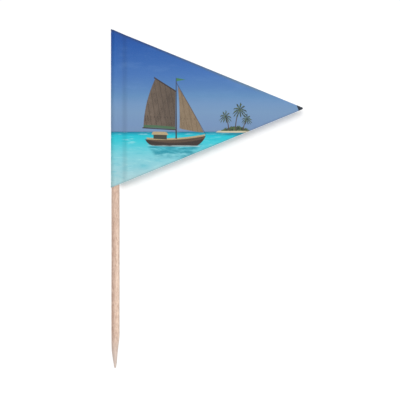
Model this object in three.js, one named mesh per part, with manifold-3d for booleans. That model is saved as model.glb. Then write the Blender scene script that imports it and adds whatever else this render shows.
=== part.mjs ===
// A flag toothpick: a turned wooden cocktail stick with a triangular paper flag at its upper end.
// The flag is one printed sheet with a glue coat inside. It is folded round the stick, pressed
// together leaf to leaf, and cut to a triangle with its hoist along the stick.
// Millimetres. +Z runs up the stick, +X along the fly of the flag, and the origin is the stick's point.
import * as THREE from "three";
import { mergeVertices } from "three/addons/utils/BufferGeometryUtils.js";
import Module from "manifold-3d";

const wasm = await Module();
wasm.setup();

// Stick
const STICK_LENGTH = 80;
const STICK_DIAMETER = 1.9;
const POINT_LENGTH = 8.2; // the sharpened stretch, an arc in section
const POINT_TIP_RADIUS = 0.08; // the point is ground slightly blunt
const TOP_CHAMFER = 0.12; // the sawn upper end has its edge broken

// Flag
const FLAG_HOIST = 38.2; // height of the flag where it meets the stick
const FLAG_FLY = 45.5; // from the stick's axis to where the two slanted cuts would meet
const FLAG_OVERHANG = 0.9; // the flag's top corner stands this far above the stick's end
const APEX_RADIUS = 0.3; // the cut tip of the flag is slightly round
const PAPER_THICKNESS = 0.12;
const GLUE_COAT = 0.03; // on the inside of the sheet; two coats meet between the leaves
const STICK_CLEARANCE = 0.01; // between the glue coat and the stick
const CREASE_GAP = 1.25; // from the stick's side to where the two leaves close on each other
const CREASE_HOLLOW = 0.75; // radius of the printed face where each leaf bends there

// How finely the round shapes are divided
const STICK_SEGMENTS = 48;
const POINT_STEPS = 14;
const LOOP_STEPS = 48;
const CREASE_STEPS = 8;
const APEX_STEPS = 6;

// Sizes that follow from the ones above
const stickRadius = STICK_DIAMETER / 2;
const boreRadius = stickRadius + STICK_CLEARANCE;
const paperOutside = GLUE_COAT + PAPER_THICKNESS; // each leaf's printed face, from the flag's mid-plane
const loopRadius = boreRadius + paperOutside;
const innerBend = CREASE_HOLLOW + paperOutside;
const closingAngle = Math.acos(boreRadius / (stickRadius + CREASE_GAP)); // where the sheet leaves the stick
const creaseX = (boreRadius + innerBend * (1 - Math.sin(closingAngle))) / Math.cos(closingAngle);
const flagFoot = STICK_LENGTH + FLAG_OVERHANG - FLAG_HOIST;
const cutMargin = loopRadius; // how far the blank reaches past the finished outline

// Turns a closed three.js geometry into a solid that can be cut.
function toSolid(geometry) {
  const bare = geometry.clone();
  bare.deleteAttribute("normal");
  bare.deleteAttribute("uv");
  const merged = mergeVertices(bare);
  return new wasm.Manifold(
    new wasm.Mesh({
      numProp: 3,
      vertProperties: merged.attributes.position.array,
      triVerts: new Uint32Array(merged.index.array),
    }),
  );
}

// Turns a cut solid back into a three.js geometry.
function toGeometry(solid) {
  const mesh = solid.getMesh();
  const geometry = new THREE.BufferGeometry();
  geometry.setAttribute("position", new THREE.BufferAttribute(mesh.vertProperties, 3));
  geometry.setIndex(new THREE.BufferAttribute(mesh.triVerts, 1));
  geometry.computeVertexNormals();
  return geometry;
}

// Points along an arc, both ends included.
function arcPoints(centreX, centreY, radius, startAngle, endAngle, steps) {
  const points = [];
  for (let i = 0; i <= steps; i += 1) {
    const angle = startAngle + ((endAngle - startAngle) * i) / steps;
    points.push(
      new THREE.Vector2(centreX + radius * Math.cos(angle), centreY + radius * Math.sin(angle)),
    );
  }
  return points;
}

// The line that a layer of the flag follows in plan, seen from above: in along the back leaf, through
// the crease, once round the stick, through the other crease and out along the front leaf. The offset
// is the layer's distance from the glue's inner face, which is the mid-plane between the leaves.
function sheetLine(offset) {
  const bend = innerBend - offset;
  return [
    ...arcPoints(
      creaseX,
      innerBend,
      bend,
      (3 * Math.PI) / 2,
      Math.PI + closingAngle,
      CREASE_STEPS,
    ),
    ...arcPoints(
      0,
      0,
      boreRadius + offset,
      closingAngle,
      2 * Math.PI - closingAngle,
      LOOP_STEPS,
    ),
    ...arcPoints(
      creaseX,
      -innerBend,
      bend,
      Math.PI - closingAngle,
      Math.PI / 2,
      CREASE_STEPS,
    ),
  ];
}

// The same line with both leaves carried out to the edge of the blank.
function leavesAndLoop(offset) {
  const blankEdge = FLAG_FLY + cutMargin;
  return [
    new THREE.Vector2(blankEdge, offset),
    ...sheetLine(offset),
    new THREE.Vector2(blankEdge, -offset),
  ];
}

// Extrudes a plan outline up the stick, past both ends of the flag.
function uprightBlank(outline, holes = []) {
  const shape = new THREE.Shape(outline);
  shape.holes = holes.map((hole) => new THREE.Path(hole));
  const height = FLAG_HOIST + 2 * cutMargin;
  const blank = new THREE.ExtrudeGeometry(shape, { depth: height, bevelEnabled: false });
  blank.translate(0, 0, flagFoot - cutMargin);
  return toSolid(blank);
}

// The triangular cutter: two slanted cuts that run on past the loop, and a slightly round tip.
function flagCutter() {
  const slope = FLAG_HOIST / 2 / (FLAG_FLY + loopRadius);
  const halfAngle = Math.atan(slope);
  const middle = flagFoot + FLAG_HOIST / 2;
  const hoistX = -loopRadius - cutMargin;
  const hoistHalf = FLAG_HOIST / 2 + slope * cutMargin;
  const tipCentreX = FLAG_FLY - APEX_RADIUS / Math.sin(halfAngle);
  const outline = new THREE.Shape([
    new THREE.Vector2(hoistX, middle - hoistHalf),
    ...arcPoints(
      tipCentreX,
      middle,
      APEX_RADIUS,
      halfAngle - Math.PI / 2,
      Math.PI / 2 - halfAngle,
      APEX_STEPS,
    ),
    new THREE.Vector2(hoistX, middle + hoistHalf),
  ]);
  const reach = loopRadius + cutMargin;
  const cutter = new THREE.ExtrudeGeometry(outline, { depth: 2 * reach, bevelEnabled: false });
  cutter.rotateX(Math.PI / 2);
  cutter.translate(0, reach, 0);
  return toSolid(cutter);
}

// The wooden stick: blunt sawn top, straight shank, and a point ground to an arc.
function stickGeometry() {
  const taper = stickRadius - POINT_TIP_RADIUS;
  const grindRadius = (taper * taper + POINT_LENGTH * POINT_LENGTH) / (2 * taper);
  const grindAngle = Math.asin(POINT_LENGTH / grindRadius);
  const point = arcPoints(
    stickRadius - grindRadius,
    POINT_LENGTH,
    grindRadius,
    -grindAngle,
    0,
    POINT_STEPS,
  );
  const profile = [
    new THREE.Vector2(0, 0),
    ...point,
    new THREE.Vector2(stickRadius, STICK_LENGTH - TOP_CHAMFER),
    new THREE.Vector2(stickRadius - TOP_CHAMFER, STICK_LENGTH),
    new THREE.Vector2(0, STICK_LENGTH),
  ];
  const stick = new THREE.LatheGeometry(profile, STICK_SEGMENTS);
  stick.rotateX(Math.PI / 2);
  return stick;
}

// The printed sheet: front leaf, loop round the stick and back leaf in one piece of paper.
function sheetGeometry() {
  const outline = [...leavesAndLoop(paperOutside), ...leavesAndLoop(GLUE_COAT).reverse()];
  return toGeometry(uprightBlank(outline).intersect(flagCutter()));
}

// The glue: a coat on the whole inside of the sheet, closed to one film between the leaves.
// Beside the stick a narrow channel stays open where the leaves draw together.
function glueGeometry() {
  const blank = uprightBlank(leavesAndLoop(GLUE_COAT), [sheetLine(0)]);
  return toGeometry(blank.intersect(flagCutter()));
}

function piece(name, geometry, look) {
  const mesh = new THREE.Mesh(geometry, new THREE.MeshStandardMaterial(look));
  mesh.name = name;
  return mesh;
}

const flagToothpick = new THREE.Group();
flagToothpick.add(
  piece("wooden_stick", stickGeometry(), { color: 0xdab9a3, roughness: 0.75, metalness: 0 }),
  piece("flag_sheet", sheetGeometry(), { color: 0x4f8ec4, roughness: 0.4, metalness: 0 }),
  piece("glue_film", glueGeometry(), { color: 0xefe9d8, roughness: 0.5, metalness: 0 }),
);

export default flagToothpick;
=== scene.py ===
import math

import bpy
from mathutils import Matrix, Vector


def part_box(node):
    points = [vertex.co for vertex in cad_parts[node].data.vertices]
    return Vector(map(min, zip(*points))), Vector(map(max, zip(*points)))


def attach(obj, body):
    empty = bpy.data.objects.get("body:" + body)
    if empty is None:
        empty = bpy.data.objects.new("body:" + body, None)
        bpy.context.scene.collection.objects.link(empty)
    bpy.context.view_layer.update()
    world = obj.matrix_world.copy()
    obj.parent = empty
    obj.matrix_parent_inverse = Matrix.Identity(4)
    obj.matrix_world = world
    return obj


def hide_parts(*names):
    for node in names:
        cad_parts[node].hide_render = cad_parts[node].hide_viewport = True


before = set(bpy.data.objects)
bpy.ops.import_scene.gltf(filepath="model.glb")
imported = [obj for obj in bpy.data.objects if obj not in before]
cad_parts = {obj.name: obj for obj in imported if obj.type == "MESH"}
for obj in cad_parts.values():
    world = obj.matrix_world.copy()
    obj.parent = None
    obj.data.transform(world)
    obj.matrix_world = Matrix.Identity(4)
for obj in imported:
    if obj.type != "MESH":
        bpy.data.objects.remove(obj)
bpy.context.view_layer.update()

# The wooden stick is a thin birch dowel, sawn to length and ground to a point at its lower end.
# The wood is bare, with soft ridges where the cutter ran along the grain, so it is never quite round.
MM = 0.001
stick_low, stick_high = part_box("wooden_stick")
flag_low, flag_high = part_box("flag_sheet")
stick_radius = (stick_high.x - stick_low.x) / 2
point_length = 8.2 * MM
point_end_radius = 0.18 * MM
point_end_rounding = 0.08 * MM
point_lean = -0.1 * MM  # the point was ground a little to the left of the stick's axis
point_bow = -0.14 * MM  # and it bows a little further to the left halfway down
point_straightness = 0.3  # from 0 for a ground arc to 1 for a straight cone
point_steps = 18
stick_sides = 64
shank_rings = 90
sawn_edge_rounding = 0.12 * MM
sawn_end_rings = 3
sawn_ring_width = stick_radius / (sawn_end_rings + 2)
ridge_grain = (0.55 * MM, 0.55 * MM, 9 * MM)
ridge_height = 0.06 * MM
ridge_middle = 0.2  # most of the ridge height stands out from the dowel, little is cut in
fuzz_grain = (0.15 * MM, 0.15 * MM, 1.2 * MM)
fuzz_height = 0.014 * MM
rough_after = 2 * MM  # the ridges set in over this length from the point's end and from the flag
under_the_flag = 0.1  # share of the ridges that the glued flag leaves standing
squarely = 0.99  # how far a face's normal points up or down where the face is an end
wood_smoothing = math.radians(50)


def start_piece(name, add_primitive, stretch=(1, 1, 1), **settings):
    """Adds a primitive as a new piece, with its place and size in its mesh."""
    bpy.ops.object.select_all(action="DESELECT")
    add_primitive(**settings)
    piece = bpy.context.object
    piece.scale = stretch
    piece.name = name
    piece.data.name = name
    bpy.ops.object.transform_apply(location=True, rotation=True, scale=True)
    return piece


def pick(piece, kind, wanted):
    """In edit mode, selects only the edges or faces that wanted says yes to."""
    bpy.ops.mesh.select_all(action="DESELECT")
    bpy.ops.mesh.select_mode(type=kind)
    bpy.ops.object.mode_set(mode="OBJECT")
    mesh = piece.data
    if kind == "EDGE":
        for edge in mesh.edges:
            edge.select = wanted(*(mesh.vertices[i].co for i in edge.vertices))
    else:
        for face in mesh.polygons:
            face.select = wanted(face.center, face.normal)
    bpy.ops.object.mode_set(mode="EDIT")


def apply_modifiers(piece):
    bpy.ops.object.select_all(action="DESELECT")
    piece.select_set(True)
    bpy.context.view_layer.objects.active = piece
    for modifier in list(piece.modifiers):
        bpy.ops.object.modifier_apply(modifier=modifier.name)


def roughen(piece, name, height, grain, share_here, direction="NORMAL", middle=0.5):
    """Moves the surface by a soft noise with grains of the size (x, y, z)."""
    group = piece.vertex_groups.new(name=name)
    for vertex in piece.data.vertices:
        group.add([vertex.index], share_here(vertex.co), "REPLACE")
    cloud = bpy.data.textures.new(name, "CLOUDS")
    cloud.noise_scale = 1.0
    cloud.noise_depth = 1
    ruler = bpy.data.objects.new(name, None)
    ruler.scale = grain
    bpy.context.scene.collection.objects.link(ruler)
    bpy.context.view_layer.update()
    rough = piece.modifiers.new(name, "DISPLACE")
    rough.texture = cloud
    rough.texture_coords = "OBJECT"
    rough.texture_coords_object = ruler
    rough.direction = direction
    rough.strength = height
    rough.mid_level = middle
    rough.vertex_group = name
    apply_modifiers(piece)
    bpy.data.objects.remove(ruler)


def between(value, low, high):
    """How far value has come from low to high, from 0 to 1."""
    return max(0.0, min(1.0, (value - low) / (high - low)))


shank_length = stick_high.z - point_length
stick = start_piece(
    "stick",
    bpy.ops.mesh.primitive_cylinder_add,
    vertices=stick_sides,
    radius=stick_radius,
    depth=shank_length,
    end_fill_type="NGON",
    location=(0, 0, point_length + shank_length / 2),
)
bpy.ops.object.mode_set(mode="EDIT")
pick(stick, "EDGE", lambda start, end: abs(start.z - end.z) > shank_length / 2)
bpy.ops.mesh.subdivide(number_cuts=shank_rings)
pick(stick, "FACE", lambda centre, normal: normal.z < -squarely)
taper = stick_radius - point_end_radius
grind_radius = (taper**2 + point_length**2) / (2 * taper)
ground_now = 0
radius_now = stick_radius
lean_now = 0
for step in range(1, point_steps + 1):
    ground_next = point_length * math.sin(math.pi / 2 * step / point_steps)
    share_ground = ground_next / point_length
    on_arc = stick_radius - grind_radius + math.sqrt(grind_radius**2 - ground_next**2)
    on_cone = stick_radius - taper * share_ground
    radius_next = on_arc + (on_cone - on_arc) * point_straightness
    lean_next = point_lean * share_ground**2 + point_bow * math.sin(math.pi * share_ground) ** 2
    down = {"value": (lean_next - lean_now, 0, ground_now - ground_next)}
    bpy.ops.mesh.extrude_region_move(TRANSFORM_OT_translate=down)
    bpy.ops.transform.resize(value=(radius_next / radius_now, radius_next / radius_now, 1))
    ground_now = ground_next
    radius_now = radius_next
    lean_now = lean_next
bpy.ops.mesh.bevel(offset=point_end_rounding, segments=2, affect="EDGES")
pick(stick, "FACE", lambda centre, normal: normal.z > squarely)
bpy.ops.mesh.bevel(offset=sawn_edge_rounding, segments=3, affect="EDGES")
pick(stick, "FACE", lambda centre, normal: normal.z > squarely)
for ring in range(sawn_end_rings):
    bpy.ops.mesh.inset(thickness=sawn_ring_width)
bpy.ops.object.mode_set(mode="OBJECT")


def bare_wood(point):
    above_point = between(point.z, 0, rough_after)
    below_flag = between(point.z, flag_low.z, flag_low.z - rough_after)
    return above_point * max(under_the_flag, below_flag)


roughen(stick, "cutter_ridges", ridge_height, ridge_grain, bare_wood, middle=ridge_middle)
roughen(stick, "wood_fuzz", fuzz_height, fuzz_grain, bare_wood)
smooth = stick.modifiers.new("smooth", "SUBSURF")
smooth.levels = 1
smooth.render_levels = 1
apply_modifiers(stick)
bpy.ops.object.shade_smooth_by_angle(angle=wood_smoothing)


def wire(tree, value, socket):
    """Joins a socket to another one, or sets it to a number, place or colour."""
    if isinstance(value, bpy.types.NodeSocket):
        tree.links.new(value, socket)
    else:
        socket.default_value = value


def work_out(tree, operation, *values):
    node = tree.nodes.new("ShaderNodeMath")
    node.operation = operation
    for value, socket in zip(values, node.inputs):
        wire(tree, value, socket)
    return node.outputs[0]


def share_between(tree, value, low, high):
    """0 at low, 1 at high and smooth in between. Low may be the larger one."""
    node = tree.nodes.new("ShaderNodeMapRange")
    node.interpolation_type = "SMOOTHSTEP"
    wire(tree, value, node.inputs["Value"])
    rising = low < high
    node.inputs["From Min"].default_value = min(low, high)
    node.inputs["From Max"].default_value = max(low, high)
    node.inputs["To Min"].default_value = 0.0 if rising else 1.0
    node.inputs["To Max"].default_value = 1.0 if rising else 0.0
    return node.outputs["Result"]


mix_under = 6  # the sockets at which Blender's mix node takes and gives colours
mix_over = 7
mix_result = 2


def lay_over(tree, share, under, over, most=1.0):
    """The colour over on top of the colour under, as thick as share times most."""
    node = tree.nodes.new("ShaderNodeMix")
    node.data_type = "RGBA"
    if most != 1.0:
        share = work_out(tree, "MULTIPLY", share, most)
    wire(tree, share, node.inputs["Factor"])
    wire(tree, under, node.inputs[mix_under])
    wire(tree, over, node.inputs[mix_over])
    return node.outputs[mix_result]


def mottle(tree, place, per_mm, detail=2.0, roughness=0.5):
    """Noise from 0 to 1 with per_mm = (x, y, z) grains to the millimetre."""
    stretch = tree.nodes.new("ShaderNodeMapping")
    stretch.inputs["Scale"].default_value = per_mm
    wire(tree, place, stretch.inputs["Vector"])
    noise = tree.nodes.new("ShaderNodeTexNoise")
    noise.inputs["Scale"].default_value = 1.0
    noise.inputs["Detail"].default_value = detail
    noise.inputs["Roughness"].default_value = roughness
    wire(tree, stretch.outputs["Vector"], noise.inputs["Vector"])
    return noise.outputs["Fac"]


def colour(red, green, blue):
    """A screen colour from 0 to 255, as Blender's linear light."""
    shares = (channel / 255 for channel in (red, green, blue))
    light = [c / 12.92 if c < 0.04045 else ((c + 0.055) / 1.055) ** 2.4 for c in shares]
    return (*light, 1.0)


def start_material(name, specular):
    material = bpy.data.materials.new(name)
    material.use_nodes = True
    material.node_tree.nodes["Principled BSDF"].inputs["Specular IOR Level"].default_value = specular
    return material, material.node_tree


def finish_material(tree, tint, sheen, smoothest, roughest, relief, relief_depth):
    """Gives the surface its colour, a roughness that follows sheen, and a fine relief."""
    surface = tree.nodes["Principled BSDF"]
    wire(tree, tint, surface.inputs["Base Color"])
    roughness = work_out(tree, "MULTIPLY_ADD", sheen, roughest - smoothest, smoothest)
    wire(tree, roughness, surface.inputs["Roughness"])
    bump = tree.nodes.new("ShaderNodeBump")
    bump.inputs["Distance"].default_value = relief_depth
    wire(tree, relief, bump.inputs["Height"])
    wire(tree, bump.outputs["Normal"], surface.inputs["Normal"])


def scale_place(tree, place, factor):
    node = tree.nodes.new("ShaderNodeVectorMath")
    node.operation = "SCALE"
    wire(tree, place, node.inputs[0])
    node.inputs["Scale"].default_value = factor
    return node.outputs["Vector"]


def place_in_mm(tree):
    """The piece's own coordinates, scaled to millimetres."""
    return scale_place(tree, tree.nodes.new("ShaderNodeTexCoord").outputs["Object"], 1 / MM)


def take_apart(tree, place):
    """The X, Y and Z of a place, as three sockets."""
    node = tree.nodes.new("ShaderNodeSeparateXYZ")
    wire(tree, place, node.inputs[0])
    return node.outputs


# The first two wood colours are painted shade and painted light: darker wood for the stick's shaded left
# side, lighter wood for its lit right side.
painted_shade_wood = colour(205, 175, 158)
painted_light_wood = colour(253, 226, 205)
brown_blotch = colour(193, 152, 128)
pale_blotch = colour(250, 222, 202)
late_ring = colour(204, 167, 146)
dark_grain = colour(184, 145, 122)
pale_grain = colour(250, 224, 204)
open_pore = colour(140, 102, 82)
# painted shade: the colour of the stick just below the flag, as if in the flag's shade
wood_in_painted_flag_shade = colour(212, 181, 162)
ground_wood = colour(220, 206, 197)
sawn_wood = colour(186, 146, 112)
pith_left = 5.0  # millimetres from the stick's axis to the middle of the tree
pith_behind = 7.0
ring_wander = 9.0
ring_tightness = 6.5
painted_light_wander = 0.7
sawn_end = stick_high.z / MM

birch, tree = start_material("bare_birch", specular=0.5)
place = place_in_mm(tree)
across, back, up = take_apart(tree, place)
pith_x = work_out(tree, "POWER", work_out(tree, "ADD", across, pith_left), 2.0)
pith_y = work_out(tree, "POWER", work_out(tree, "ADD", back, -pith_behind), 2.0)
from_pith = work_out(tree, "SQRT", work_out(tree, "ADD", pith_x, pith_y))
wander = mottle(tree, place, (0.3, 0.3, 0.03), detail=1.0)
ring_phase = work_out(tree, "MULTIPLY_ADD", wander, ring_wander, from_pith)
rings = work_out(tree, "SINE", work_out(tree, "MULTIPLY", ring_phase, ring_tightness))
streaks = mottle(tree, place, (8.0, 8.0, 0.4), detail=4.0, roughness=0.7)
blotches = mottle(tree, place, (2.0, 2.0, 0.8), detail=4.0, roughness=0.7)
flecks = mottle(tree, place, (5.0, 5.0, 1.1), detail=3.0, roughness=0.6)
pores = mottle(tree, place, (14.0, 14.0, 1.3), detail=1.0)
# Painted light and shade: the stick is painted lighter towards its right side and darker towards its
# left, as if lit from the right; the blotches make the border wander.
painted_light_edge = work_out(tree, "MULTIPLY_ADD", blotches, painted_light_wander, across)
wood = lay_over(tree, share_between(tree, painted_light_edge, -0.3, 0.95), painted_shade_wood, painted_light_wood)
# Painted light: the stick's left side is painted lighter just below the flag.
left_below_flag = work_out(
    tree, "MULTIPLY", share_between(tree, up, 33.0, 38.0), share_between(tree, across, 0.1, -0.6)
)
wood_layers = [
    # where the layer lies, with places in millimetres, its colour, and how thick it is at most
    # painted shade of the flag: the wood darker towards the flag
    (share_between(tree, up, 29.0, 37.0), wood_in_painted_flag_shade, 0.55),
    (share_between(tree, blotches, 0.48, 0.72), brown_blotch, 0.7),
    (share_between(tree, blotches, 0.5, 0.26), pale_blotch, 0.85),
    (share_between(tree, rings, 0.2, 1.4), late_ring, 0.5),
    (share_between(tree, streaks, 0.5, 0.8), dark_grain, 0.8),
    (share_between(tree, streaks, 0.45, 0.2), pale_grain, 1.0),
    (share_between(tree, flecks, 0.5, 0.78), brown_blotch, 0.5),
    (share_between(tree, flecks, 0.5, 0.22), pale_grain, 0.6),
    (share_between(tree, pores, 0.62, 0.7), open_pore, 0.6),
    (share_between(tree, up, 9.0, 1.0), ground_wood, 0.75),
    # painted light on the stick's left side below the flag
    (left_below_flag, painted_light_wood, 0.2),
    (share_between(tree, up, sawn_end - 0.2, sawn_end), sawn_wood, 0.35),
]
for share, tint, most in wood_layers:
    wood = lay_over(tree, share, wood, tint, most)
fibres = work_out(tree, "MULTIPLY_ADD", flecks, 0.5, streaks)
finish_material(
    tree, wood, blotches, smoothest=0.7, roughest=0.9, relief=fibres, relief_depth=0.04 * MM
)
stick.data.materials.append(birch)
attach(stick, "root")
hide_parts("wooden_stick")

# The flag is one sheet of coated paper, printed on its outside and folded once round the stick.
# The two leaves are pressed together, creased beside the stick and cut to a triangle in one go,
# so both cuts run straight on across the fold and the tip is left slightly round.
paper_thickness = 0.12 * MM
glue_coat = 0.03 * MM
wrap_slack = 0.01 * MM
bore_radius = stick_radius + wrap_slack
crease_gap = 1.25 * MM  # from the stick's side to where the two leaves close on each other
crease_hollow = 0.75 * MM  # radius of the printed face in the crease
fly = 45.13 * MM  # from the stick's axis to where the two cuts would meet
lower_trim = 0.3 * MM  # the photograph's lower cut runs this much above the solid's
tip_radius = 0.25 * MM
printed_face = paper_thickness + glue_coat
inner_bend = crease_hollow + printed_face
# how far round the stick, from the side of the leaves, the sheet starts to lie against it
closing_angle = math.acos(bore_radius / (stick_radius + crease_gap))
crease_x = (bore_radius + inner_bend * (1 - math.sin(closing_angle))) / math.cos(closing_angle)
loop_angle = 2 * (math.pi - closing_angle)
bend_angle = math.pi / 2 - closing_angle
hoist_x = flag_low.x
hoist_low = flag_low.z + lower_trim
flag_hoist = flag_high.z - hoist_low  # the flag's height along the stick
flag_middle = (hoist_low + flag_high.z) / 2
cut_slope = flag_hoist / 2 / (fly - hoist_x)
half_tip_angle = math.atan(cut_slope)
blank_margin = 1.2 * MM
leaf_columns = 46
leaf_rows = 42
loop_steps = 72
crease_steps = 10
tip_cuts = 7
cut_precision = 0.0001 * MM
merge_distance = 0.002 * MM
leaf_wave_height = 0.5 * MM
leaf_wave_grain = (24 * MM, 1, 40 * MM)
leaf_wave_full_at = 16 * MM
leaf_rise = 0.22 * MM  # the leaves bend a little to the front past the crease
rise_start = crease_x - 0.4 * MM
rise_end = 5.6 * MM
rise_fades_from = 14 * MM
fold_unevenness = 0.02 * MM
fold_grain = (0.7 * MM, 0.7 * MM, 30 * MM)
fold_end = 0.4 * MM
paper_smoothing = math.radians(35)


def fold_sheet(name, layer, cut_back=0.0):
    """Folds a blank round the stick, with its face at the distance layer from the
    middle of the glue, and cuts it to the triangle, short of its edge by cut_back."""
    leaf_length = fly + blank_margin - crease_x
    sheet = start_piece(
        name,
        bpy.ops.mesh.primitive_grid_add,
        x_subdivisions=leaf_columns,
        y_subdivisions=leaf_rows,
        size=1,
        location=(crease_x + leaf_length / 2, -layer, flag_middle),
        rotation=(math.pi / 2, 0, 0),
        stretch=(leaf_length, flag_hoist + 2 * blank_margin, 1),
    )
    bend = inner_bend - layer
    loop = bore_radius + layer
    slope_x = crease_x - (loop + bend) * math.cos(closing_angle)
    slope_y = inner_bend - (loop + bend) * math.sin(closing_angle)
    upright = {"axis": (0, 0, 1), "use_auto_merge": False}
    front_bend = (crease_x, -inner_bend, 0)
    back_bend = (crease_x, inner_bend, 0)
    bpy.ops.object.mode_set(mode="EDIT")
    pick(sheet, "EDGE", lambda start, end: max(start.x, end.x) < crease_x + merge_distance)
    bpy.ops.mesh.spin(steps=crease_steps, angle=-bend_angle, center=front_bend, **upright)
    bpy.ops.mesh.extrude_region_move(TRANSFORM_OT_translate={"value": (-slope_x, slope_y, 0)})
    bpy.ops.mesh.spin(steps=loop_steps, angle=loop_angle, center=(0, 0, 0), **upright)
    bpy.ops.mesh.extrude_region_move(TRANSFORM_OT_translate={"value": (slope_x, slope_y, 0)})
    bpy.ops.mesh.spin(steps=crease_steps, angle=-bend_angle, center=back_bend, **upright)
    bpy.ops.mesh.extrude_repeat(steps=leaf_columns, offset=(leaf_length / leaf_columns, 0, 0))
    tip_centre = fly - tip_radius / math.sin(half_tip_angle)
    furthest_turn = math.pi / 2 - half_tip_angle
    for cut in range(tip_cuts + 1):
        turn = furthest_turn * (2 * cut / tip_cuts - 1)
        reach = tip_radius - cut_back
        outwards = (math.cos(turn), 0, math.sin(turn))
        bpy.ops.mesh.select_all(action="SELECT")
        bpy.ops.mesh.bisect(
            plane_co=(tip_centre + reach * outwards[0], 0, flag_middle + reach * outwards[2]),
            plane_no=outwards,
            clear_outer=True,
            threshold=cut_precision,
        )
    bpy.ops.mesh.select_all(action="SELECT")
    bpy.ops.mesh.remove_doubles(threshold=merge_distance)
    bpy.ops.mesh.normals_make_consistent(inside=False)
    bpy.ops.object.mode_set(mode="OBJECT")
    return sheet


def curl_and_thicken(sheet, thickness):
    """Gives the leaves their slight wave, alike on both, and the sheet its wall.
    The inside and the cut edges take the sheet's second material, if it has one."""
    for vertex in sheet.data.vertices:
        past_crease = between(vertex.co.x, rise_start, rise_end)
        before_tip = between(vertex.co.x, fly, rise_fades_from)
        eased = past_crease * past_crease * (3 - 2 * past_crease)
        vertex.co.y -= leaf_rise * eased * before_tip
    roughen(
        sheet,
        "leaf_wave",
        leaf_wave_height,
        leaf_wave_grain,
        lambda point: between(point.x, crease_x, leaf_wave_full_at),
        direction="Y",
    )
    wall = sheet.modifiers.new("wall", "SOLIDIFY")
    wall.thickness = thickness
    wall.offset = -1
    wall.use_quality_normals = True
    wall.material_offset = 1
    wall.material_offset_rim = 1
    apply_modifiers(sheet)
    bpy.ops.object.shade_smooth_by_angle(angle=paper_smoothing)


def along_sheet(point):
    """The distance along the printed face from the hoist line to a point of either leaf."""
    loop = bore_radius + printed_face
    turned = math.pi - abs(math.atan2(point.y, point.x))
    loop_end = math.pi - closing_angle
    if turned <= loop_end:
        return loop * turned
    end_x = loop * math.cos(closing_angle)
    end_y = loop * math.sin(closing_angle)
    if point.x <= crease_x:
        return loop * loop_end + math.hypot(point.x - end_x, end_y - abs(point.y))
    return loop * loop_end + math.hypot(crease_x - end_x, end_y - printed_face) + point.x - crease_x


# The print's own coordinates run along the paper and up the stick, so that the picture follows
# the fold. A UV map holds them in decimetres, which keeps them small.
print_scale = 10
flag = fold_sheet("flag", printed_face)
print_map = flag.data.uv_layers.new(name="print")
for corner in flag.data.loops:
    point = flag.data.vertices[corner.vertex_index].co
    print_map.data[corner.index].uv = (along_sheet(point) * print_scale, point.z * print_scale)
roughen(
    flag,
    "fold_unevenness",
    fold_unevenness,
    fold_grain,
    lambda point: between(point.x, crease_x, fold_end),
    middle=0.0,
)

printed, tree = start_material("printed_paper", specular=0.25)
print_place = tree.nodes.new("ShaderNodeUVMap")
print_place.uv_map = "print"
print_mm = scale_place(tree, print_place.outputs["UV"], 1 / MM / print_scale)
print_ways = take_apart(tree, print_mm)
along = print_ways["X"]
up = print_ways["Y"]


def ramp(value, stops):
    """A run of colours over a height in millimetres, from stops of (height, colour)."""
    low = stops[0][0]
    high = stops[-1][0]
    span = tree.nodes.new("ShaderNodeMapRange")
    wire(tree, value, span.inputs["Value"])
    span.inputs["From Min"].default_value = low
    span.inputs["From Max"].default_value = high
    node = tree.nodes.new("ShaderNodeValToRGB")
    wire(tree, span.outputs["Result"], node.inputs["Fac"])
    while len(node.color_ramp.elements) < len(stops):
        node.color_ramp.elements.new(0.5)
    # a stop that is moved can change places with another, so the colours are given afterwards
    for element, (height, tint) in zip(node.color_ramp.elements, stops):
        element.position = (height - low) / (high - low)
    for element, (height, tint) in zip(node.color_ramp.elements, stops):
        element.color = tint
    return node.outputs["Color"]


def cut_shape(corners, bows=None, soft=0.07, up=up):
    """1 inside the outline with these corners (along, up), given anticlockwise, and 0
    outside it. Each side swells outwards by its bow."""
    inside = None
    for start, end, bow in zip(corners, corners[1:] + corners[:1], bows or [0] * len(corners)):
        length = math.dist(start, end)
        run = (end[0] - start[0]) / length
        rise = (end[1] - start[1]) / length
        depth = work_out(tree, "MULTIPLY_ADD", up, run, start[0] * rise - start[1] * run)
        depth = work_out(tree, "MULTIPLY_ADD", along, -rise, depth)
        if bow:
            passed = work_out(tree, "MULTIPLY_ADD", up, rise, -start[0] * run - start[1] * rise)
            passed = work_out(tree, "MULTIPLY_ADD", along, run, passed)
            left = work_out(tree, "SUBTRACT", length, passed)
            arch = work_out(tree, "MAXIMUM", work_out(tree, "MULTIPLY", passed, left), 0.0)
            depth = work_out(tree, "MULTIPLY_ADD", arch, 4 * bow / length**2, depth)
        inside = depth if inside is None else work_out(tree, "MINIMUM", inside, depth)
    return share_between(tree, inside, -soft, soft)


# The sky deepens from a hazy horizon to the flag's top corner, with thin drifts of cloud.
horizon = 56.4
sky = ramp(up, [
    (horizon, colour(116, 144, 180)),
    (58.0, colour(116, 146, 185)),
    (61.0, colour(118, 151, 188)),
    (63.0, colour(112, 148, 190)),
    (65.0, colour(95, 139, 186)),
    (67.0, colour(82, 127, 183)),
    (70.0, colour(66, 114, 180)),
    (73.0, colour(49, 101, 173)),
    (76.6, colour(28, 87, 165)),
    (81.0, colour(8, 71, 153)),
])
drifts = mottle(tree, print_mm, (0.09, 0.3, 1.0), detail=5.0, roughness=0.62)
above_haze = share_between(tree, up, 58.0, 63.0)
drifts = work_out(tree, "MULTIPLY", share_between(tree, drifts, 0.5, 0.75), above_haze)
sky = lay_over(tree, drifts, sky, colour(122, 166, 210), most=0.15)

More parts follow.
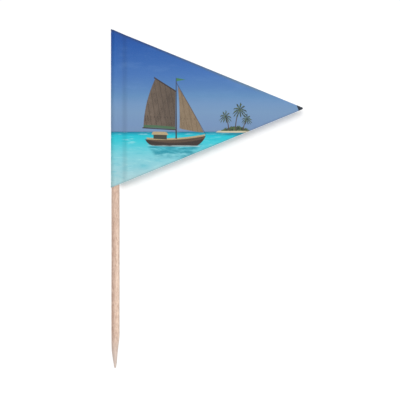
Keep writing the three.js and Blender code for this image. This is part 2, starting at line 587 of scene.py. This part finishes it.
# The sea turns from deep blue at the horizon to a pale shallow, with waves that grow nearer by.
sea = ramp(up, [
    (42.0, colour(178, 214, 217)),
    (45.2, colour(172, 211, 216)),
    (47.0, colour(160, 209, 217)),
    (49.5, colour(138, 208, 218)),
    (51.0, colour(123, 207, 218)),
    (52.6, colour(93, 204, 217)),
    (54.0, colour(58, 201, 214)),
    (55.4, colour(18, 195, 211)),
    (56.0, colour(8, 152, 180)),
    (horizon, colour(4, 95, 129)),
])
nearest_horizon = 0.02
wave_crowding = 0.55  # below 1, the waves lie closer towards the horizon
wave_rate = 5.0
below_horizon = work_out(tree, "SUBTRACT", horizon, up)
below_horizon = work_out(tree, "MAXIMUM", below_horizon, nearest_horizon)
wave_rows = work_out(tree, "POWER", below_horizon, wave_crowding)
wave_rows = work_out(tree, "MULTIPLY", wave_rows, wave_rate)
wave_place = tree.nodes.new("ShaderNodeCombineXYZ")
wire(tree, along, wave_place.inputs["X"])
wire(tree, wave_rows, wave_place.inputs["Y"])
wave_mm = wave_place.outputs["Vector"]
ripples = mottle(tree, wave_mm, (0.28, 0.9, 1.0), detail=4.0, roughness=0.6)
swell = mottle(tree, wave_mm, (0.12, 0.35, 1.0), detail=2.0)
sea = lay_over(tree, share_between(tree, swell, 0.45, 0.7), sea, colour(34, 186, 204), most=0.25)
sea = lay_over(tree, share_between(tree, ripples, 0.52, 0.72), sea, colour(38, 176, 196), most=0.38)
sea = lay_over(tree, share_between(tree, ripples, 0.46, 0.3), sea, colour(182, 230, 233), most=0.42)

# The boat and the islet darken the water under them, broken up by the ripples.
faintest_shade = 0.15
fullest_shade = 0.9
broken = share_between(tree, ripples, 0.36, 0.6)
broken = work_out(tree, "MULTIPLY_ADD", broken, fullest_shade - faintest_shade, faintest_shade)
under_hull = cut_shape([(11.6, 50.4), (19.6, 50.2), (22.2, 53.2), (9.6, 53.3)], soft=0.6)
sea = lay_over(tree, work_out(tree, "MULTIPLY", under_hull, broken), sea, colour(26, 142, 163))
under_islet = cut_shape([(27.2, 55.5), (34.4, 55.5), (35.6, 56.3), (26.0, 56.3)], soft=0.3)
sea = lay_over(tree, work_out(tree, "MULTIPLY", under_islet, broken), sea, colour(28, 128, 150))
print_blur = 0.06
above_horizon = share_between(tree, up, horizon - print_blur, horizon + print_blur)
picture = lay_over(tree, above_horizon, sea, sky)

# The boat has patched brown sails with sewn seams and a row of reef ties, and a planked hull.
weave = mottle(tree, print_mm, (5.0, 7.0, 1.0), detail=3.0, roughness=0.7)
stains = mottle(tree, print_mm, (0.7, 0.35, 1.0), detail=4.0, roughness=0.6)
seam_slant = 0.17
seam_spacing = 1.2
belly_slant = 0.1
reef_slant = 0.06
reef_up = 60.6
tie_spacing = 0.8
cloth_run = work_out(tree, "MULTIPLY_ADD", up, seam_slant, along)
seams = share_between(tree, work_out(tree, "PINGPONG", cloth_run, seam_spacing / 2), 0.12, 0.03)
belly = share_between(tree, work_out(tree, "MULTIPLY_ADD", up, belly_slant, along), 15.2, 22.6)
reef_line = work_out(tree, "MULTIPLY_ADD", along, reef_slant, up)
from_reef = work_out(tree, "ABSOLUTE", work_out(tree, "SUBTRACT", reef_line, reef_up))
reef_band = share_between(tree, from_reef, 0.26, 0.18)
from_tie = work_out(tree, "PINGPONG", along, tie_spacing / 2)
reef_ties = work_out(tree, "MULTIPLY", reef_band, share_between(tree, from_tie, 0.1, 0.04))


def sail_cloth(dark, light, seam):
    cloth = lay_over(tree, share_between(tree, weave, 0.3, 0.7), dark, light)
    cloth = lay_over(tree, share_between(tree, stains, 0.42, 0.68), cloth, light, most=0.55)
    cloth = lay_over(tree, share_between(tree, stains, 0.46, 0.3), cloth, dark, most=0.6)
    cloth = lay_over(tree, seams, cloth, seam, most=0.55)
    cloth = lay_over(tree, reef_ties, cloth, seam, most=0.8)
    return lay_over(tree, belly, cloth, dark, most=0.5)


main_cloth = sail_cloth(colour(70, 59, 51), colour(124, 108, 94), colour(50, 41, 37))
jib_cloth = sail_cloth(colour(116, 98, 78), colour(170, 150, 122), colour(92, 76, 60))
midships = 15.6
plank_sheer = 0.018  # how much the planks rise towards both ends of the hull
plank_width = 0.42
from_midships = work_out(tree, "POWER", work_out(tree, "SUBTRACT", along, midships), 2.0)
plank_rows = work_out(tree, "MULTIPLY_ADD", from_midships, -plank_sheer, up)
from_gap = work_out(tree, "PINGPONG", plank_rows, plank_width / 2)
wood_patches = share_between(tree, weave, 0.3, 0.7)
planks = lay_over(tree, wood_patches, colour(78, 61, 50), colour(98, 78, 63))
planks = lay_over(tree, share_between(tree, from_gap, 0.06, 0.02), planks, colour(44, 35, 31), most=0.7)
planks = lay_over(tree, share_between(tree, plank_rows, 53.72, 53.64), planks, colour(50, 41, 37))
straw_patches = share_between(tree, weave, 0.35, 0.7)
straw = lay_over(tree, straw_patches, colour(168, 148, 110), colour(198, 180, 142))
tarred_wood = colour(54, 44, 39)
green_paint = colour(72, 106, 78)
boat = [
    # the rail and the planked side
    ([(9.3, 55.0), (11.0, 53.1), (20.8, 53.0), (23.4, 55.8)], (0.15, 0.1, 0.3, -0.5), straw),
    ([(9.0, 54.6), (10.9, 53.0), (21.2, 52.9), (23.5, 55.4)], (0.3, 0.1, 0.3, -0.5), planks),
    # the cabin and its thatched roof
    ([(11.0, 54.7), (14.2, 54.5), (14.2, 55.8), (11.0, 55.9)], None, colour(58, 60, 52)),
    ([(10.6, 55.7), (14.6, 55.6), (14.1, 56.3), (11.0, 56.4)], (0, 0, 0.05, 0.12), straw),
    # the mast, the main sail with its green foot, and the jib
    ([(16.25, 54.7), (16.6, 54.7), (16.5, 69.2), (16.35, 69.2)], None, tarred_wood),
    ([(8.6, 57.4), (16.2, 56.9), (16.3, 66.0), (11.4, 69.0)], (-0.1, 0, 0.1, 0.6), main_cloth),
    ([(8.65, 57.4), (16.2, 56.9), (16.2, 57.5), (8.68, 58.0)], (-0.1, 0, 0.1, 0), green_paint),
    ([(17.2, 57.2), (23.0, 56.2), (16.8, 67.2)], (0.15, 0.25, -0.2), jib_cloth),
    # the boom, the gaff, the forestay and the pennant
    ([(8.3, 57.2), (16.4, 56.7), (16.4, 56.95), (8.4, 57.45)], None, tarred_wood),
    ([(11.1, 69.15), (16.4, 65.85), (16.5, 66.1), (11.2, 69.45)], None, tarred_wood),
    ([(16.45, 68.0), (23.45, 55.7), (23.53, 55.74), (16.52, 68.1)], None, tarred_wood),
    ([(16.5, 68.4), (18.6, 68.85), (16.5, 69.2)], None, colour(64, 124, 84)),
]
for corners, bows, tint in boat:
    picture = lay_over(tree, cut_shape(corners, bows), picture, tint)
foam = cut_shape([(9.8, 52.95), (21.9, 52.8), (22.3, 53.05), (9.6, 53.2)], soft=0.1)
foam = work_out(tree, "MULTIPLY", foam, broken)
picture = lay_over(tree, foam, picture, colour(206, 234, 236), most=0.8)

# A low islet of pale sand with bushes and three palms lies further off.
sand = cut_shape([(25.9, 56.25), (35.2, 56.25), (34.6, 56.6), (26.4, 56.6)], (0.1, 0, 0.15, 0))
picture = lay_over(tree, sand, picture, colour(206, 196, 166))
bush_raggedness = 1.6
leafage = mottle(tree, print_mm, (1.6, 1.6, 1.0), detail=3.0, roughness=0.7)
ragged_up = work_out(tree, "MULTIPLY_ADD", leafage, -bush_raggedness, up)
bush_outline = [(26.8, 55.5), (34.6, 55.5), (33.8, 56.0), (27.4, 56.0)]
bushes = cut_shape(bush_outline, (0, 0, 0.9, 0), soft=0.1, up=ragged_up)
bushes = work_out(tree, "MULTIPLY", bushes, share_between(tree, up, 56.5, 56.65))
leaves = lay_over(tree, share_between(tree, leafage, 0.4, 0.65), colour(40, 54, 43), colour(86, 106, 66))
picture = lay_over(tree, bushes, picture, leaves)
foot_half_width = 0.13
top_half_width = 0.08
frond_droop = 0.62
frond_count = 11
frond_raggedness = 0.5
frond_taper = 1.4
frond_reach = 0.85
crown_heart = 0.14
leaflet_slant = 7.0
leaflet_rate = 26.0
leaflet_depth = 0.8
frond_slimness = 1.3


def paint_palm(picture, foot, crown, size, bend):
    """A palm with its foot and the middle of its crown at places of the print. Its
    fronds arch over, end in points and are ragged along their sides."""
    trunk = [
        (foot[0] - foot_half_width, foot[1]),
        (foot[0] + foot_half_width, foot[1]),
        (crown[0] + top_half_width, crown[1]),
        (crown[0] - top_half_width, crown[1]),
    ]
    picture = lay_over(tree, cut_shape(trunk, (0, bend, 0, -bend)), picture, colour(78, 68, 58))
    out = work_out(tree, "SUBTRACT", along, crown[0])
    out_squared = work_out(tree, "MULTIPLY", out, out)
    above = work_out(tree, "MULTIPLY_ADD", out_squared, frond_droop / size, up)
    above = work_out(tree, "SUBTRACT", above, crown[1])
    above_squared = work_out(tree, "MULTIPLY", above, above)
    reach = work_out(tree, "SQRT", work_out(tree, "ADD", out_squared, above_squared))
    turn = work_out(tree, "ARCTAN2", above, out)
    turn = work_out(tree, "MULTIPLY_ADD", leafage, frond_raggedness, turn)
    spine = work_out(tree, "SINE", work_out(tree, "MULTIPLY_ADD", turn, frond_count / 2, size))
    from_spine = work_out(tree, "SUBTRACT", 1.0, work_out(tree, "ABSOLUTE", spine))
    slant = work_out(tree, "MULTIPLY", reach, leaflet_rate)
    slant = work_out(tree, "MULTIPLY_ADD", from_spine, -leaflet_slant, slant)
    leaflets = work_out(tree, "SINE", slant)
    leaflets = work_out(tree, "MULTIPLY_ADD", leaflets, leaflet_depth, frond_slimness)
    width_left = work_out(tree, "SUBTRACT", 1.0, work_out(tree, "MULTIPLY", from_spine, leaflets))
    width_left = work_out(tree, "MAXIMUM", width_left, 0.0)
    frond_end = work_out(tree, "POWER", width_left, frond_taper)
    frond_end = work_out(tree, "MULTIPLY_ADD", frond_end, frond_reach * size, crown_heart * size)
    beyond = work_out(tree, "SUBTRACT", frond_end, reach)
    return lay_over(tree, share_between(tree, beyond, -print_blur, print_blur), picture, leaves)


picture = paint_palm(picture, foot=(28.9, 56.8), crown=(28.2, 60.0), size=1.5, bend=0.2)
picture = paint_palm(picture, foot=(30.6, 56.8), crown=(31.6, 61.6), size=1.8, bend=-0.3)
picture = paint_palm(picture, foot=(32.4, 56.8), crown=(33.3, 59.4), size=1.3, bend=-0.15)

# The print ends in a dark border at the tip. Painted shade darkens the paper along the crease
# and along both cuts, the upper one more, but less and less towards the tip.
border_along = 45.45
border_slant = 0.395
crease_along = 4.1
crease_reach = 1.0
crease_sink = 1.5
border_place = work_out(tree, "MULTIPLY_ADD", up, border_slant, along)
border_start = border_along + border_slant * flag_middle / MM
border = share_between(tree, border_place, border_start - print_blur, border_start + print_blur)
picture = lay_over(tree, border, picture, colour(30, 40, 52))
grain = mottle(tree, print_mm, (5.0, 5.0, 1.0), detail=2.0)
grain = share_between(tree, grain, 0.4, 0.75)
picture = lay_over(tree, grain, picture, colour(235, 240, 245), most=0.02)
# Painted shade along the crease; the same mask also sinks the relief there.
from_crease = work_out(tree, "ABSOLUTE", work_out(tree, "SUBTRACT", along, crease_along))
crease_shade_and_dent = share_between(tree, from_crease, crease_reach, 0.0)
picture = lay_over(tree, crease_shade_and_dent, picture, colour(8, 22, 40), most=0.16)
flag_ways = take_apart(tree, place_in_mm(tree))
across = flag_ways["X"]
height = flag_ways["Z"]
from_hoist = work_out(tree, "SUBTRACT", across, hoist_x / MM)
upper_cut = work_out(tree, "MULTIPLY_ADD", from_hoist, -cut_slope, flag_high.z / MM)
lower_cut = work_out(tree, "MULTIPLY_ADD", from_hoist, cut_slope, hoist_low / MM)
# Painted shade along the upper cut, fading out towards the tip.
cut_edge_shade = share_between(tree, work_out(tree, "SUBTRACT", upper_cut, height), 0.8, 0.2)
cut_edge_shade = work_out(tree, "MULTIPLY", cut_edge_shade, share_between(tree, across, 40.0, 30.0))
near_tip = share_between(tree, across, 4.0, 40.0)
cut_edge_shade_tint = lay_over(tree, near_tip, colour(40, 46, 58), colour(120, 136, 118))
picture = lay_over(tree, cut_edge_shade, picture, cut_edge_shade_tint, most=0.46)
# Painted shade along the lower cut.
cut_edge_shade = share_between(tree, work_out(tree, "SUBTRACT", height, lower_cut), 0.55, 0.1)
picture = lay_over(tree, cut_edge_shade, picture, colour(44, 54, 76), most=0.16)
gloss = mottle(tree, print_mm, (0.9, 0.9, 1.0), detail=3.0)
coating = mottle(tree, print_mm, (3.0, 3.0, 1.0), detail=3.0)
coating = work_out(tree, "MULTIPLY_ADD", crease_shade_and_dent, -crease_sink, coating)
finish_material(
    tree, picture, gloss, smoothest=0.34, roughest=0.5, relief=coating, relief_depth=0.006 * MM
)
flag.data.materials.append(printed)

bare_paper, tree = start_material("bare_paper", specular=0.2)
fibres = mottle(tree, place_in_mm(tree), (9.0, 9.0, 9.0), detail=3.0)
paper_tint = lay_over(tree, fibres, colour(238, 236, 230), colour(250, 249, 246))
finish_material(
    tree, paper_tint, fibres, smoothest=0.85, roughest=0.95, relief=fibres, relief_depth=0.01 * MM
)
flag.data.materials.append(bare_paper)
curl_and_thicken(flag, paper_thickness)

# The UV map OFBake is laid out for baking pictures of the materials. On it the two printed
# leaves lie head to tail, as large as they go, and the bare inside and cut edges in a corner.
tip_end = fly - tip_radius / math.sin(half_tip_angle) + tip_radius
half_length = along_sheet(Vector((tip_end, 0, flag_middle)))
map_margin = 0.012
map_inside = 1 - 2 * map_margin
leaf_share = 0.625  # of the map's height, which keeps the two leaves apart
bare_corner = (0.6, 0.015)
bare_size = (0.385, 0.16)
layout = flag.data.uv_layers.new(name="OFBake")
flag.data.uv_layers.active = layout
flag.active_material_index = flag.data.materials.find("bare_paper")
bpy.ops.object.mode_set(mode="EDIT")
bpy.ops.mesh.select_all(action="DESELECT")
bpy.ops.object.material_slot_select()
bpy.ops.uv.smart_project(angle_limit=math.radians(66), island_margin=0.01, scale_to_bounds=True)
bpy.ops.object.mode_set(mode="OBJECT")
# edit mode has renewed the maps, so both are fetched again
layout = flag.data.uv_layers["OFBake"]
print_map = flag.data.uv_layers["print"]
for face in flag.data.polygons:
    for corner in face.loop_indices:
        if face.material_index == flag.active_material_index:
            u, v = layout.uv[corner].vector
            u = bare_corner[0] + bare_size[0] * u
            v = bare_corner[1] + bare_size[1] * v
        else:
            u, v = print_map.uv[corner].vector / print_scale
            u = map_margin + map_inside * u / half_length
            v = map_margin + leaf_share * (v - hoist_low) / flag_hoist
            if face.normal.y > 0:
                u = 1 - u
                v += map_inside - leaf_share
        layout.uv[corner].vector = (u, v)
print_map.active_render = True
flag.data.uv_layers.active = print_map
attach(flag, "root")
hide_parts("flag_sheet")

# The glue is a thin coat on the whole inside of the sheet, which holds the fold on the stick.
# Pressed together, the coats of the two leaves make one film, seen as a line at the cut edges.
glue_cut_back = 0.02 * MM
glue = fold_sheet("glue", glue_coat, glue_cut_back)
dried_glue, tree = start_material("dried_glue", specular=0.5)
glue_mm = place_in_mm(tree)
cloudy = mottle(tree, glue_mm, (1.5, 1.5, 1.5), detail=3.0)
beads = mottle(tree, glue_mm, (5.0, 5.0, 2.5), detail=2.0)
glue_tint = lay_over(tree, cloudy, colour(220, 208, 178), colour(242, 235, 216))
thick_beads = share_between(tree, beads, 0.6, 0.75)
glue_tint = lay_over(tree, thick_beads, glue_tint, colour(202, 184, 146), most=0.6)
finish_material(
    tree, glue_tint, cloudy, smoothest=0.2, roughest=0.5, relief=beads, relief_depth=0.02 * MM
)
glue.data.materials.append(dried_glue)
curl_and_thicken(glue, glue_coat)
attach(glue, "root")
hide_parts("glue_film")

# The camera looks straight at the flag's front from half a metre, through a long lens, so that
# the toothpick fills the picture as it does in the photograph.
camera_distance = 530.6 * MM
camera_right = 20.17 * MM
camera_height = 40.09 * MM
bpy.ops.object.camera_add(
    location=(camera_right, -camera_distance, camera_height),
    rotation=(math.pi / 2, 0, 0),
)
camera = bpy.context.object
camera.data.lens = 200
camera.data.clip_start = 0.01
camera.data.clip_end = 10
bpy.context.scene.camera = camera

# A white floor lies under the point, and a white card stands close behind the flag, where it
# catches the soft shadow below the lower edge. From behind, the card isn't there.
stage_reach = 1500 * MM
card_gap = 0.5 * MM
plain_white = 1.05
strip_starts = -1.6  # millimetres below the line of the flag's lower cut
strip_full = -1.0
strip_fades = 2.8
strip_ends = 4.0
strip_lean = 0.7
strip_onset = 1.7  # over which the strip sets in to the right of the stick
floor = start_piece("floor", bpy.ops.mesh.primitive_plane_add, size=2 * stage_reach)
card = start_piece(
    "card",
    bpy.ops.mesh.primitive_plane_add,
    size=2 * stage_reach,
    location=(0, flag_high.y + card_gap, stage_reach),
    rotation=(math.pi / 2, 0, 0),
)


def seen_directly(tree):
    """1 for what the camera sees, also in a reflection or through something clear."""
    rays = tree.nodes.new("ShaderNodeLightPath").outputs
    seen = work_out(tree, "MAXIMUM", rays["Is Camera Ray"], rays["Is Glossy Ray"])
    return work_out(tree, "MAXIMUM", seen, rays["Is Transmission Ray"])


def mix_shaders(tree, share, under, over):
    node = tree.nodes.new("ShaderNodeMixShader")
    wire(tree, share, node.inputs[0])
    wire(tree, under.outputs[0], node.inputs[1])
    wire(tree, over.outputs[0], node.inputs[2])
    return node


def white_stage(name, whiteness, glow_strength, shadow_strip):
    """A matt white surface, with a glow that brings it to plain white where the camera sees it.
    With shadow_strip, shadows only show in a strip along the flag's lower cut, and the surface
    can't be seen from behind."""
    material = bpy.data.materials.new(name)
    material.use_nodes = True
    tree = material.node_tree
    tree.nodes.clear()
    matt = tree.nodes.new("ShaderNodeBsdfDiffuse")
    matt.inputs["Color"].default_value = (whiteness, whiteness, whiteness, 1)
    glow = tree.nodes.new("ShaderNodeEmission")
    strength = work_out(tree, "MULTIPLY", seen_directly(tree), glow_strength)
    wire(tree, strength, glow.inputs["Strength"])
    look = tree.nodes.new("ShaderNodeAddShader")
    wire(tree, matt.outputs[0], look.inputs[0])
    wire(tree, glow.outputs[0], look.inputs[1])
    if shadow_strip:
        card_ways = take_apart(tree, place_in_mm(tree))
        cut_at_axis = (hoist_low - cut_slope * hoist_x) / MM
        cut_line = work_out(tree, "MULTIPLY_ADD", card_ways["X"], cut_slope, cut_at_axis)
        below_cut = work_out(tree, "SUBTRACT", cut_line, card_ways["Z"])
        past_stick = work_out(tree, "MULTIPLY_ADD", below_cut, -strip_lean, card_ways["X"])
        strip = share_between(tree, below_cut, strip_ends, strip_fades)
        upper_side = share_between(tree, below_cut, strip_starts, strip_full)
        strip = work_out(tree, "MULTIPLY", strip, upper_side)
        left_side = share_between(tree, past_stick, 0.0, strip_onset)
        strip = work_out(tree, "MULTIPLY", strip, left_side)
        plain = tree.nodes.new("ShaderNodeEmission")
        plain.inputs["Strength"].default_value = plain_white
        look = mix_shaders(tree, strip, plain, look)
        behind = tree.nodes.new("ShaderNodeNewGeometry").outputs["Backfacing"]
        look = mix_shaders(tree, behind, look, tree.nodes.new("ShaderNodeBsdfTransparent"))
    output = tree.nodes.new("ShaderNodeOutputMaterial")
    wire(tree, look.outputs[0], output.inputs["Surface"])
    return material


white_floor = white_stage("white_floor", whiteness=0.6, glow_strength=0.58, shadow_strip=False)
white_card = white_stage("white_card", whiteness=0.95, glow_strength=0.16, shadow_strip=True)
floor.data.materials.append(white_floor)
card.data.materials.append(white_card)
card.visible_shadow = False
card.visible_diffuse = False
card.visible_glossy = False

# Three wide lamps and the room light the flag softly and almost evenly. The plain white behind
# it only shows to the camera and in reflections, and isn't what lights the object.


def add_soft_light(name, comes_from, strength, width):
    """A far lamp, width degrees across, that shines from the direction comes_from."""
    bpy.ops.object.light_add(type="SUN", location=comes_from)
    lamp = bpy.context.object
    lamp.name = name
    lamp.data.energy = strength
    lamp.data.angle = math.radians(width)
    lamp.rotation_euler = lamp.location.to_track_quat("Z", "Y").to_euler()


add_soft_light("key_from_right", comes_from=(1.1, -0.8, 0.4), strength=0.85, width=60)
add_soft_light("top_light", comes_from=(-0.12, -0.8, 0.56), strength=1.81, width=46)
add_soft_light("fill_from_behind", comes_from=(-0.4, 0.8, 0.5), strength=1.0, width=60)

room_light = 0.28
white_background = 1.0
world = bpy.data.worlds.new("studio")
bpy.context.scene.world = world
world.use_nodes = True
tree = world.node_tree
room = tree.nodes["Background"]
room.inputs["Color"].default_value = (1, 1, 1, 1)
seen = seen_directly(tree)
brightness = work_out(tree, "MULTIPLY_ADD", seen, white_background - room_light, room_light)
wire(tree, brightness, room.inputs["Strength"])
bpy.context.scene.view_settings.view_transform = "Standard"
